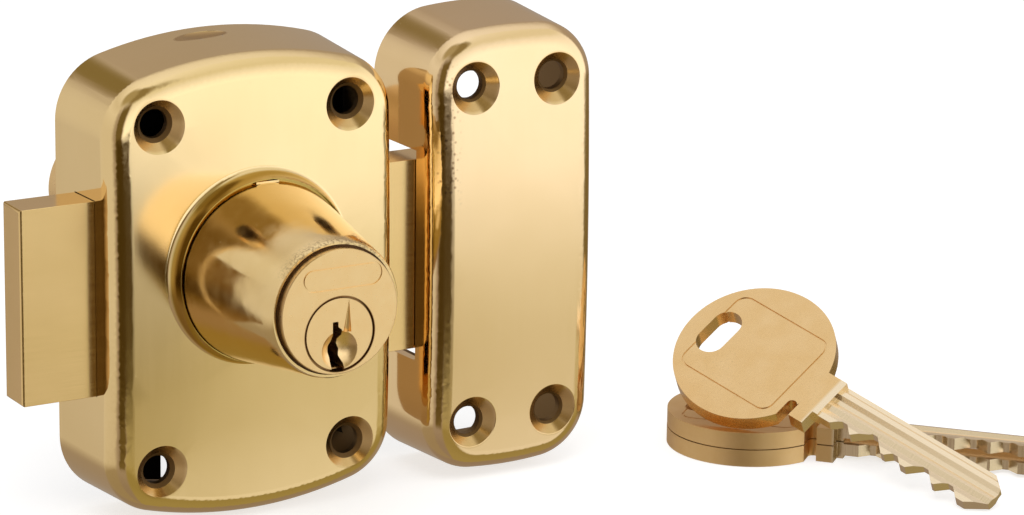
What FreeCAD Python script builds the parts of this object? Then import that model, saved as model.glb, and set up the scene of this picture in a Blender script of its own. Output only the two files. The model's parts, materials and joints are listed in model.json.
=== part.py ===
import FreeCAD, Part
import math
import os
import re
import Sketcher
from FreeCAD import Placement, Rotation, Vector

# Surface-mounted double cylinder deadbolt with its keeper and three keys, in millimetres.
# X runs along the bolt's throw towards the keeper, Y from the room into the door, Z up.
# The origin is where the axis of the two cylinder bodies meets the door face, Y = 0.
# A key turn moves the bolt: both plugs turn one pinion, and the pinion meshes a rack
# in the window of the bolt. The lock stands after the first of its two key turns.

doc = FreeCAD.newDocument("double_cylinder_deadbolt")
sheet = doc.addObject("Spreadsheet::Sheet", "sizes")

SIZES = (
    # Case and keeper castings
    ("case_width", 60.0, "case at the door face"),
    ("case_height", 89.0, "case at the door face, crown to crown"),
    ("case_depth", 22.6, "door face to the crown of the front"),
    ("case_corner", 12.0, "corner radius of the outline"),
    ("arch_radius", 80.0, "arched top and bottom of case and keeper"),
    ("draft_angle", 3.0, "draft of the side walls, degrees"),
    ("crown_radius", 700.0, "crown of the front faces"),
    ("front_fillet", 4.5, "rounding of the front edges"),
    ("side_wall", 2.6, "wall of the castings"),
    ("front_wall", 2.8, "front wall of the castings at the crown"),
    ("keeper_width", 37.0, "keeper at the door face"),
    ("keeper_height", 88.0, "keeper at the door face"),
    ("keeper_gap", 5.6, "between case and keeper at the door face"),
    ("mouth_below", 2.4, "keeper mouth below the bolt"),
    ("mouth_above", 1.7, "keeper mouth above the bolt"),
    ("mouth_front", 0.3, "keeper mouth in front of the bolt"),
    ("badge_half_length", 5.4, "bare oval recess on top of the case, along X"),
    ("badge_half_width", 2.2, "that recess along Y"),
    ("badge_depth", 0.6, "that recess below the case's crown"),
    ("badge_left", 3.0, "that recess left of the middle"),
    ("badge_front", 5.0, "that recess from the door face"),
    # Wood screw holes in the front walls
    ("case_holes_across", 38.8, "hole spacing of the case along X"),
    ("keeper_holes_across", 17.5, "hole spacing of the keeper along X"),
    ("holes_upright", 65.3, "hole spacing along Z, case and keeper"),
    ("hole_radius", 2.7, "screw hole"),
    ("sink_depth", 2.3, "depth of the countersink"),
    ("hole_boss_radius", 4.8, "boss behind each screw hole"),
    ("hole_boss_length", 1.8, "length of that boss"),
    # Collar and cover of the inside cylinder
    ("collar_height", 3.4, "collar above the crown"),
    ("collar_sweep", 1.5, "flare from the front to the collar, across"),
    ("collar_rim_radius", 17.35, "collar at its rim"),
    ("collar_rim_edge", 0.1, "rounding of that rim"),
    ("collar_recess_radius", 17.18, "recess for the cover's foot"),
    ("collar_recess_depth", 0.8, "depth of that recess"),
    ("recess_lift", 0.2, "collar and recess sit this much above the axis"),
    ("cover_foot_radius", 16.9, "cover at the collar"),
    ("cover_nose_radius", 12.5, "cover at its nose"),
    ("cover_length", 26.9, "cover from collar to nose"),
    ("cover_wall", 1.5, "wall of the cover"),
    ("cover_step", 3.0, "solid ring at the nose"),
    ("nose_bevel", 0.6, "bevelled front end of the cover, along the axis"),
    ("nose_swell", 0.25, "cover behind that bevel, over the nose radius"),
    ("nose_tuck", 0.1, "front edge of that bevel, under the nose radius"),
    ("nose_lip", 0.55, "opening in the nose, under the nose radius"),
    ("ring_behind", 0.5, "cover ring behind the nose"),
    ("lug_width", 4.6, "locating lug of the cover"),
    ("lug_length", 1.1, "that lug along the axis"),
    ("lug_height", 0.4, "that lug"),
    # Cylinders, plugs and their pins
    ("cylinder_radius", 11.5, "cylinder body"),
    ("cylinder_edge", 0.15, "chamfer round the cylinder's face"),
    ("plug_radius", 6.9, "plug"),
    ("plug_edge", 0.3, "step round the plug's front end"),
    ("plug_edge_length", 0.6, "length of that step"),
    ("plug_drop", 4.1, "plug axis below the cylinder axis"),
    ("plug_clearance", 0.05, "running clearance of turning parts"),
    ("inner_cylinder_length", 34.7, "inside cylinder, face to case wall"),
    ("outer_cylinder_reach", 45.0, "outside cylinder beyond the door face"),
    ("flange_radius", 16.8, "fixing flange of the inside cylinder"),
    ("flange_thickness", 1.5, "thickness of that flange"),
    ("clip_recess_radius", 7.5, "recess around the plug clip"),
    ("clip_recess_depth", 2.0, "depth of that recess"),
    ("tail_radius", 4.5, "tail of the plug"),
    ("clip_thickness", 0.9, "plug clip"),
    ("clip_radius", 6.6, "plug clip"),
    ("pin_count", 5, "pins in each cylinder"),
    ("pin_first", 6.0, "face to first pin"),
    ("pin_pitch", 4.0, "pin spacing"),
    ("chamber_radius", 1.5, "pin chamber"),
    ("pin_radius", 1.45, "pins and drivers"),
    ("driver_length", 3.5, "driver pin"),
    ("cap_length", 1.2, "plug that closes a pin chamber"),
    ("spring_radius", 1.05, "driver spring, to the wire's centre"),
    ("spring_wire", 0.18, "radius of its wire"),
    ("spring_turns", 5, "turns of the driver spring"),
    ("keyway_top", 2.3, "top of the keyway above the plug axis"),
    ("dish_radius", 5.2, "round dish that leads the key in"),
    ("dish_out", 3.7, "centre of the dish in front of the face"),
    ("dish_down", 3.0, "centre of the dish below the plug axis"),
    ("streak_radius", 0.8, "tapered groove above the dish, at its wide end"),
    ("streak_length", 6.0, "that groove, up to its point"),
    ("streak_aside", 1.55, "its wide end beside the plug axis"),
    ("streak_up", 0.2, "its wide end above the plug axis"),
    ("stadium_half_length", 7.9, "engraved outline above the plug"),
    ("stadium_half_height", 2.15, "that outline"),
    ("stadium_up", 3.55, "centre of that outline above the plug"),
    ("stadium_aside", 0.55, "that centre beside the cylinder axis"),
    ("ring_thickness", 0.9, "ring that holds the cover"),
    # Bolt and its drive
    ("bolt_length", 87.8, "bolt, tail to nose"),
    ("bolt_height", 36.8, "bolt"),
    ("bolt_thickness", 7.5, "bolt"),
    ("bolt_front", 15.0, "front of the bolt from the door face"),
    ("bolt_clearance", 0.12, "bolt in the slots of the case"),
    ("bolt_edge", 0.5, "broken edges at the bolt's ends"),
    ("rack_module", 0.58, "module of rack and pinion"),
    ("pinion_teeth", 8, "teeth of the pinion"),
    ("pressure_angle", 25.0, "pressure angle, degrees"),
    ("tooth_reach", 0.7, "tooth height above the pitch line, in modules"),
    ("tooth_play", 0.05, "play at each flank"),
    ("disc_radius", 6.0, "drive discs"),
    ("disc_thickness", 2.2, "drive discs"),
    ("disc_gap", 0.4, "drive discs to the bolt"),
    ("front_journal_radius", 5.5, "journal in the cylinder flange"),
    ("rear_journal_radius", 4.5, "journal in the back plate"),
    ("square_size", 2.2, "square end of the pinion"),
    ("tailpiece_width", 6.0, "tailpiece"),
    ("tailpiece_thickness", 1.6, "tailpiece"),
    ("tailpiece_play", 0.1, "tailpiece in its slots, each side"),
    # Back plate and what it carries
    ("plate_thickness", 1.5, "back plate"),
    ("plate_inset", 2.0, "back plate from the door face"),
    ("plate_gap_across", 0.25, "back plate to the side walls"),
    ("plate_gap_upright", 0.6, "back plate to the top and bottom walls"),
    ("plate_notch", 22.1, "width of the notch at the plate's foot"),
    ("plate_hole_radius", 3.8, "holes that let the wood screws pass"),
    ("post_across", 32.0, "post spacing along X"),
    ("post_upright", 48.0, "post spacing along Z"),
    ("post_radius", 3.3, "posts of the case"),
    ("machine_screw_radius", 1.5, "screws of the back plate and flange"),
    ("screw_head_radius", 2.75, "their heads"),
    ("screw_head_height", 1.8, "their heads"),
    ("plate_screw_length", 8.0, "thread length of the plate screws"),
    ("cylinder_screw_radius", 2.0, "screws of the outside cylinder"),
    ("cylinder_screw_head", 3.4, "their heads"),
    ("cylinder_screw_length", 22.0, "their thread in the cylinder"),
    ("cylinder_screws_across", 14.0, "their spacing"),
    ("cylinder_screws_up", 5.2, "their height above the cylinder axis"),
    ("flange_screw_circle", 13.9, "circle of the flange screws"),
    ("flange_screw_length", 4.4, "their thread in the collar"),
    ("guide_length", 22.0, "guide strips"),
    ("guide_thickness", 1.5, "guide strips"),
    ("guide_reach", 8.0, "guide strips, from the back plate"),
    ("guide_foot", 4.5, "foot of a guide strip on the back plate"),
    ("stop_pin_radius", 2.0, "stop pin"),
    ("stop_pin_up", 11.5, "stop pin above the plug axis"),
    ("stop_pin_reach", 2.6, "stop pin inside the bolt"),
    ("spring_strip", 0.5, "thickness of the leaf spring"),
    ("spring_strip_width", 6.0, "leaf spring"),
    ("spring_strip_length", 26.0, "leaf spring"),
    ("spring_strip_down", 11.0, "leaf spring below the plug axis"),
    ("spring_crest", 6.0, "flat crest of the leaf spring"),
    ("spring_foot", 5.0, "foot of the leaf spring on the back plate"),
    ("rivet_radius", 1.2, "rivet of the leaf spring"),
    ("rivet_inset", 2.5, "rivet from the spring's end"),
    ("rivet_head_rim", 0.8, "rivet head over its shank"),
    ("rivet_head_height", 0.8, "rivet head"),
    # Keys
    ("bow_radius", 16.0, "bow of a key"),
    ("key_thickness", 3.3, "bow of a key"),
    ("key_reach", 60.0, "centre of the bow to the tip"),
    ("key_play", 0.12, "blade in the keyway, each side"),
    ("neck_length", 7.0, "neck between bow and blade"),
    ("shoulder_start", 15.4, "centre of the bow to the stop shoulder"),
    ("shoulder_width", 3.4, "stop shoulder along the key"),
    ("shoulder_rise", 3.2, "stop shoulder beside the blade"),
    ("relief_width", 2.1, "notch between bow and shoulder"),
    ("relief_rise", 1.0, "floor of that notch beside the blade"),
    ("ring_slot_length", 10.7, "slot for a key ring, across the key"),
    ("ring_slot_width", 6.0, "that slot along the key"),
    ("ring_slot_rim", 3.8, "rim of the bow to that slot"),
    ("first_cut", 9.5, "rim of the bow to the first pin cut"),
    ("cut_pitch", 6.5, "spacing of the pin cuts"),
    ("cut_flat", 1.2, "flat floor of a pin cut"),
    ("cut_slope", 1.1, "run of a cut's flank for each millimetre of depth"),
    ("tip_top", 4.5, "length of the slope at the tip, upper edge"),
    ("tip_drop", 3.4, "height of that slope"),
    ("tip_rise", 2.6, "height of the slope at the tip, cut edge"),
    ("panel_corner", 2.6, "corner radius of that outline"),
    ("keys_x", 105.6, "centre of the stacked bows along X"),
    ("keys_y", -24.5, "centre of the stacked bows along Y"),
    ("stack_gap", 0.15, "air between the stacked keys"),
    ("lean_x", 105.46, "centre of the leaning bow along X"),
    ("lean_y", -26.45, "centre of the leaning bow along Y"),
    ("lean_up", 17.53, "centre of the leaning bow above the floor"),
    ("panel_length", 23.0, "outline on the bow, along the key"),
    ("panel_width", 20.0, "outline on the bow, across the key"),
    ("line_width", 0.35, "engraved lines"),
    ("line_depth", 0.2, "engraved lines"),
)
for row, (alias, number, note) in enumerate(SIZES, 1):
    sheet.set("A%d" % row, alias)
    sheet.set("B%d" % row, str(number))
    sheet.setAlias("B%d" % row, alias)
    sheet.set("C%d" % row, note)
doc.recompute()

FUNCTIONS = ("sqrt", "sin", "cos", "tan", "pi", "deg", "min", "max", "mm")
TURN_TO_Y = Rotation(Vector(1, 0, 0), -90)
SKETCH_TO_XZ = Rotation(Vector(1, 0, 0), 90)


def cell(text):
    """Turn a formula of size names into an expression on the sheet."""
    return re.sub(r"[a-z_]+[a-z0-9_]*",
                  lambda m: m.group(0) if m.group(0) in FUNCTIONS else "sizes." + m.group(0), str(text))


def size(text):
    """The present value of such a formula."""
    found = sheet.evalExpression(cell(text))
    return float(getattr(found, "Value", found))


def place(item, x="0", y="0", z="0"):
    for axis, text in zip("xyz", (x, y, z)):
        item.setExpression("Placement.Base." + axis, cell(text))
    return item


def add(kind, label, **formulas):
    item = doc.addObject(kind, label)
    item.Label = label
    for name, text in formulas.items():
        item.setExpression(name, cell(text))
    return item


def box(label, lengths, corner):
    item = add("Part::Box", label, Length=lengths[0], Width=lengths[1], Height=lengths[2])
    return place(item, *corner)


def rod(label, radius, length, start):
    """A cylinder along +Y from start."""
    item = add("Part::Cylinder", label, Radius=radius, Height=length)
    item.Placement = Placement(Vector(), TURN_TO_Y)
    return place(item, *start)


def post(label, radius, length, start):
    """A cylinder along +Z from start."""
    return place(add("Part::Cylinder", label, Radius=radius, Height=length), *start)


def cone(label, first, second, length, start):
    """A cone along +Y from start."""
    item = add("Part::Cone", label, Radius1=first, Radius2=second, Height=length)
    item.Placement = Placement(Vector(), TURN_TO_Y)
    return place(item, *start)


def group(label, items):
    item = add("Part::Compound", label)
    item.Links = list(items)
    return item


def fuse(label, items):
    item = add("Part::MultiFuse", label)
    item.Shapes = list(items)
    return item


def cut(label, base, tools):
    item = add("Part::Cut", label)
    item.Base = base
    item.Tool = tools[0] if len(tools) == 1 else fuse(label + "_cuts", tools)
    return item


def common(label, first, second):
    item = add("Part::Common", label)
    item.Base = first
    item.Tool = second
    return item


def fixed_shape(label, shape):
    """A solid or wire worked out in code from the sheet's sizes."""
    item = doc.addObject("Part::Feature", label)
    item.Label = label
    item.Shape = shape
    return item


def extrude(label, base, length, taper="0"):
    """Extrude an outline in the XZ plane from the door side towards the room, -Y."""
    item = add("Part::Extrusion", label, LengthFwd=length, TaperAngle=taper)
    item.Base = base
    item.DirMode = "Custom"
    item.Dir = Vector(0, -1, 0)
    item.Solid = True
    return item


def polygon_sketch(label, points, rotation, start=("0", "0", "0")):
    """A closed sketch of straight lines whose corners are bound to formulas."""
    sketch = doc.addObject("Sketcher::SketchObject", label)
    sketch.Label = label
    sketch.Placement = Placement(Vector(), rotation)
    place(sketch, *start)
    values = [Vector(size(x), size(y), 0) for x, y in points]
    for number, corner in enumerate(values):
        sketch.addGeometry(Part.LineSegment(corner, values[(number + 1) % len(values)]), False)
    last = len(values) - 1
    for number in range(len(values)):
        following = number + 1 if number < last else 0
        sketch.addConstraint(Sketcher.Constraint("Coincident", number, 2, following, 1))
    for number, (x, y) in enumerate(points):
        for kind, text, value in (("DistanceX", x, values[number].x), ("DistanceY", y, values[number].y)):
            index = sketch.addConstraint(Sketcher.Constraint(kind, -1, 1, number, 1, value))
            sketch.setExpression("Constraints[%d]" % index, cell(text))
    return sketch


def turned(label, points, x="0", z="0"):
    """A solid turned about an axis along Y. Its profile is given as radius and Y."""
    sketch = polygon_sketch(label + "_profile", points, Rotation(), (x, "0", z))
    item = add("Part::Revolution", label)
    item.Source = sketch
    item.Axis = Vector(0, 1, 0)
    item.setExpression("Base.x", cell(x))
    item.setExpression("Base.z", cell(z))
    item.Angle = 360
    item.Solid = True
    return item


def arched_outline(label, width, height, corner, arch, centre_x, y):
    """A rounded rectangle with arched top and bottom, square to Y."""
    half_width, half_height = width / 2, height / 2
    arch_z = half_height - arch
    corner_z = arch_z + math.sqrt((arch - corner) ** 2 - (half_width - corner) ** 2)
    lean = math.atan2(corner_z - arch_z, half_width - corner)

    def on(cx, cz, radius, angle):
        return Vector(centre_x + cx + radius * math.cos(angle), y, centre_z + cz + radius * math.sin(angle))

    centre_z = -size("plug_drop")
    right, top = half_width - corner, corner_z
    arcs = (
        (right, top, corner, 0, lean),
        (0, arch_z, arch, lean, math.pi - lean),
        (-right, top, corner, math.pi - lean, math.pi),
        (-right, -top, corner, math.pi, math.pi + lean),
        (0, -arch_z, arch, math.pi + lean, 2 * math.pi - lean),
        (right, -top, corner, 2 * math.pi - lean, 2 * math.pi),
    )
    edges = []
    for cx, cz, radius, start, end in arcs:
        middle = (start + end) / 2
        edges.append(Part.Arc(*(on(cx, cz, radius, angle) for angle in (start, middle, end))).toShape())
    left_side = Part.LineSegment(on(-right, top, corner, math.pi), on(-right, -top, corner, math.pi))
    right_side = Part.LineSegment(on(right, -top, corner, 0), on(right, top, corner, 0))
    edges.insert(3, left_side.toShape())
    edges.append(right_side.toShape())
    return fixed_shape(label, Part.Wire(Part.__sortEdges__(edges)))


def round_edges(label, base, radius, wanted):
    """Fillet the edges of base for which wanted(edge) is true."""
    doc.recompute()
    chosen = [(number, radius, radius) for number, edge in enumerate(base.Shape.Edges, 1) if wanted(edge)]
    item = doc.addObject("Part::Fillet", label)
    item.Label = label
    item.Base = base
    item.Edges = chosen
    base.Visibility = False
    return item


PLUG_Z = "-plug_drop"
FRONT_INNER = "-(case_depth - front_wall)"
SEAM = "-(case_depth + collar_height)"
PLATE_FRONT = "-(plate_inset + plate_thickness)"
BOLT_REAR = "-(bolt_front - bolt_thickness)"
PITCH_RADIUS = "rack_module*pinion_teeth/2"
THROW = "pi*rack_module*pinion_teeth"
KEEPER_X = "case_width/2 + keeper_gap + keeper_width/2"


# Castings

def casting(label, width, height, centre_x):
    """A drafted, crowned block with rounded front edges, and the cavity inside it."""
    mid_x = size(centre_x)
    outer = arched_outline(label + "_outline", size(width), size(height),
                           size("case_corner"), size("arch_radius"), mid_x, 0)
    block = extrude(label + "_block", outer, "case_depth + 2", "-draft_angle")
    ball = add("Part::Sphere", label + "_crown", Radius="crown_radius")
    place(ball, centre_x, "crown_radius - case_depth", PLUG_Z)
    crowned = common(label + "_crowned", block, ball)
    front = -size("case_depth")

    def at_front(edge):
        box_of = edge.BoundBox
        return box_of.YMax < front / 2 and box_of.YMax - box_of.YMin < 3

    rounded = round_edges(label + "_rounded", crowned, size("front_fillet"), at_front)
    inner = arched_outline(label + "_cavity_outline", size(width + " - 2*side_wall"),
                           size(height + " - 2*side_wall"), size("case_corner - side_wall"),
                           size("arch_radius - side_wall"), mid_x, 0)
    cavity = extrude(label + "_cavity", inner, "case_depth - front_wall", "-draft_angle")
    return rounded, cavity


def hole_places(across):
    """The four corner positions of a hole pattern, as formulas relative to its centre."""
    return [("%s*%s/2" % (sx, across), "%s*holes_upright/2" % sz) for sx in (-1, 1) for sz in (-1, 1)]


def screw_holes(label, across, centre_x):
    """Countersunk holes and the bosses behind them."""
    bosses, holes = [], []
    for number, (x, z) in enumerate(hole_places(across), 1):
        at_x, at_z = "%s + %s" % (centre_x, x), "%s + %s" % (PLUG_Z, z)
        bosses.append(rod("%s_boss_%d" % (label, number), "hole_boss_radius", "hole_boss_length + 0.2",
                          (at_x, FRONT_INNER + " - 0.2", at_z)))
        sag = "(%s^2 + (holes_upright/2)^2)/(2*crown_radius)" % ("(" + across + "/2)")
        sink_end = "-case_depth + %s + sink_depth" % sag
        holes.append(rod("%s_bore_%d" % (label, number), "hole_radius", "case_depth",
                         (at_x, "-case_depth - 1", at_z)))
        holes.append(cone("%s_sink_%d" % (label, number), "hole_radius + sink_depth + 2", "hole_radius",
                          "sink_depth + 2", (at_x, sink_end + " - sink_depth - 2", at_z)))
    return bosses, holes


case_block, case_cavity = casting("case", "case_width", "case_height", "0")
case_bosses, case_holes = screw_holes("case", "case_holes_across", "0")
case_hollow = cut("case_hollow", case_block, [case_cavity])
plate_posts = []
plate_taps = []
for sx in (-1, 1):
    for sz in (-1, 1):
        at = ("%d*post_across/2" % sx, "%s + %d*post_upright/2" % (PLUG_Z, sz))
        tag = "%s%s" % ("left" if sx < 0 else "right", "_lower" if sz < 0 else "_upper")
        plate_posts.append(rod("post_" + tag, "post_radius", "case_depth - front_wall - plate_inset"
                               " - plate_thickness + 0.2", (at[0], FRONT_INNER + " - 0.2", at[1])))
        plate_taps.append(rod("tap_" + tag, "machine_screw_radius", "plate_screw_length",
                              (at[0], PLATE_FRONT + " - plate_screw_length + plate_thickness", at[1])))


def collar_solid():
    """The raised collar: its flank flares out of the front face, the last bit of its rim is round."""
    sweep, rim, edge = size("collar_sweep"), size("collar_rim_radius"), size("collar_rim_edge")
    seam, inside = size(SEAM), size(FRONT_INNER + " - 0.5")
    foot = rim + sweep
    face_y = -size("case_depth") + foot ** 2 / (2 * size("crown_radius")) + 0.02
    rise = face_y - seam - edge
    pull = 0.55
    flare = Part.BezierCurve()
    flare.setPoles([Vector(foot, face_y, 0), Vector(foot - pull * sweep, face_y, 0),
                    Vector(rim, face_y - (1 - pull) * rise, 0), Vector(rim, seam + edge, 0)])
    middle = math.radians(45)
    outer = [
        Part.LineSegment(Vector(0, inside, 0), Vector(foot, inside, 0)),
        Part.LineSegment(Vector(foot, inside, 0), Vector(foot, face_y, 0)),
        flare,
        Part.Arc(Vector(rim, seam + edge, 0),
                 Vector(rim - edge + edge * math.sin(middle), seam + edge - edge * math.sin(middle), 0),
                 Vector(rim - edge, seam, 0)),
        Part.LineSegment(Vector(rim - edge, seam, 0), Vector(0, seam, 0)),
        Part.LineSegment(Vector(0, seam, 0), Vector(0, inside, 0)),
    ]
    profile = Part.Face(Part.Wire([line.toShape() for line in outer]))
    return profile.revolve(Vector(), Vector(0, 1, 0), 360)


collar = fixed_shape("collar", collar_solid())
collar.Placement.Base.z = size("recess_lift")
collar_recess = rod("collar_recess", "collar_recess_radius", "collar_recess_depth + 1",
                    ("0", SEAM + " - 1", "recess_lift"))
collar_bore = rod("collar_bore", "cylinder_radius + plug_clearance", "case_depth",
                  ("0", SEAM + " - 1", "0"))
bolt_way = box("bolt_way", ("case_width + 10", "bolt_thickness + 2*bolt_clearance",
                            "bolt_height + 2*bolt_clearance"),
               ("-case_width/2 - 5", "-bolt_front - bolt_clearance",
                PLUG_Z + " - bolt_height/2 - bolt_clearance"))
badge_seat = add("Part::Ellipsoid", "badge_seat", Radius1="badge_depth", Radius2="badge_half_length",
                 Radius3="badge_half_width")
place(badge_seat, "-badge_left", "-badge_front", PLUG_Z + " + case_height/2 - badge_depth/6")
flange_taps = []
for side in (-1, 1):
    flange_taps.append(rod("flange_tap_" + ("left" if side < 0 else "right"), "machine_screw_radius",
                           "flange_screw_length", ("%d*flange_screw_circle*cos(45)" % side,
                                                   FRONT_INNER + " - flange_screw_length",
                                                   "flange_screw_circle*sin(45)")))
case_body = fuse("case_body", [case_hollow, collar] + case_bosses + plate_posts)
case_shell = cut("case_shell", case_body, case_holes + plate_taps + flange_taps
                 + [collar_recess, collar_bore, bolt_way, badge_seat])

keeper_block, keeper_cavity = casting("keeper", "keeper_width", "keeper_height", KEEPER_X)
keeper_bosses, keeper_holes = screw_holes("keeper", "keeper_holes_across", KEEPER_X)
keeper_hollow = cut("keeper_hollow", keeper_block, [keeper_cavity])
keeper_body = fuse("keeper_body", [keeper_hollow] + keeper_bosses)
keeper_mouth = box("keeper_mouth", ("side_wall + 6", "bolt_front + 1 + mouth_front",
                                    "bolt_height + mouth_below + mouth_above"),
                   ("case_width/2 + keeper_gap - 2", "-bolt_front - mouth_front",
                    PLUG_Z + " - bolt_height/2 - mouth_below"))
keeper_shell = cut("keeper_shell", keeper_body, keeper_holes + [keeper_mouth])

# Cover of the inside cylinder

COVER_FOOT = SEAM + " + collar_recess_depth"
NOSE = SEAM + " - cover_length"
cover_turned = turned("cover_turned", (
    ("cover_foot_radius - cover_wall", COVER_FOOT),
    ("cover_foot_radius", COVER_FOOT),
    ("cover_foot_radius", SEAM),
    ("cover_nose_radius + nose_swell", NOSE + " + nose_bevel"),
    ("cover_nose_radius - nose_tuck", NOSE),
    ("cover_nose_radius - nose_lip", NOSE),
    ("cover_nose_radius - nose_lip", NOSE + " + ring_thickness + ring_behind"),
    ("cylinder_radius + 0.1", NOSE + " + ring_thickness + ring_behind"),
    ("cylinder_radius + 0.1", NOSE + " + ring_thickness + ring_behind + cover_step"),
))
cover_lug = box("cover_lug", ("lug_width", "lug_length", "lug_height"),
                ("-lug_width/2", SEAM + " - 0.3", "cover_foot_radius - 0.1"))
cylinder_cover = fuse("cylinder_cover", [cover_turned, cover_lug])
ring_turned = turned("ring_turned", (
    ("cylinder_radius - 0.5", NOSE + " + ring_behind"),
    ("cover_nose_radius - nose_lip - 0.05", NOSE + " + ring_behind"),
    ("cover_nose_radius - nose_lip - 0.05", NOSE + " + ring_behind + ring_thickness"),
    ("cylinder_radius - 0.5", NOSE + " + ring_behind + ring_thickness"),
))
ring_gap = box("ring_gap", ("2.4", "4", "4"), ("-1.2", NOSE + " - 1", "-cylinder_radius - 2.5"))
cover_ring = cut("cover_ring", ring_turned, [ring_gap])

# Cylinders. The two are alike but for their length, their fixing and the way they face.
# A keyway corner is given from the plug axis; the blade of a key has the same outline
# made smaller by the key's play.

KEYWAY = (
    (-1.35, "keyway_top"), (-0.25, "keyway_top"), (-0.2, "1.3"), (0.45, "0.75"), (0.65, "-0.35"),
    (0.0, "-1.1"), (-0.05, "-2.0"), (0.45, "-3.1"), (0.3, "-4.3"), (0.95, "-5.6"),
    (0.95, "-plug_radius - 0.5"), (-1.6, "-plug_radius - 0.5"), (-1.6, "-4.4"), (-1.9, "-3.4"),
    (-1.9, "-2.3"), (-1.3, "-1.4"), (-1.1, "-0.4"), (-1.35, "0.4"),
)
STREAK_LEAN = 3.3


def pin_row(label, face_y, inward, radius, low, high):
    """One upright cylinder for each pin position."""
    return [post("%s_%d" % (label, number + 1), radius, "(%s) - (%s)" % (high, low),
                 ("0", "%s + %s*(pin_first + %d*pin_pitch)" % (face_y, inward, number), low))
            for number in range(int(size("pin_count")))]


def spring_row(label, face_y, inward, low, high):
    """Helical driver springs, worked out from the sizes."""
    wire, radius = size("spring_wire"), size("spring_radius")
    free = size(high) - size(low) - 2 * wire - 0.04
    helix = Part.makeHelix(free / size("spring_turns"), free, radius)
    section = Part.Wire(Part.makeCircle(wire, Vector(radius, 0, 0), Vector(0, 1, 0)))
    coil = Part.Wire(helix).makePipeShell([section], True, True)
    springs = []
    for number in range(int(size("pin_count"))):
        at_y = size("%s + %s*(pin_first + %d*pin_pitch)" % (face_y, inward, number))
        turn = coil.copy()
        turn.translate(Vector(0, at_y, size(low) + wire + 0.02))
        springs.append(turn)
    return fixed_shape(label, Part.makeCompound(springs))


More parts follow.
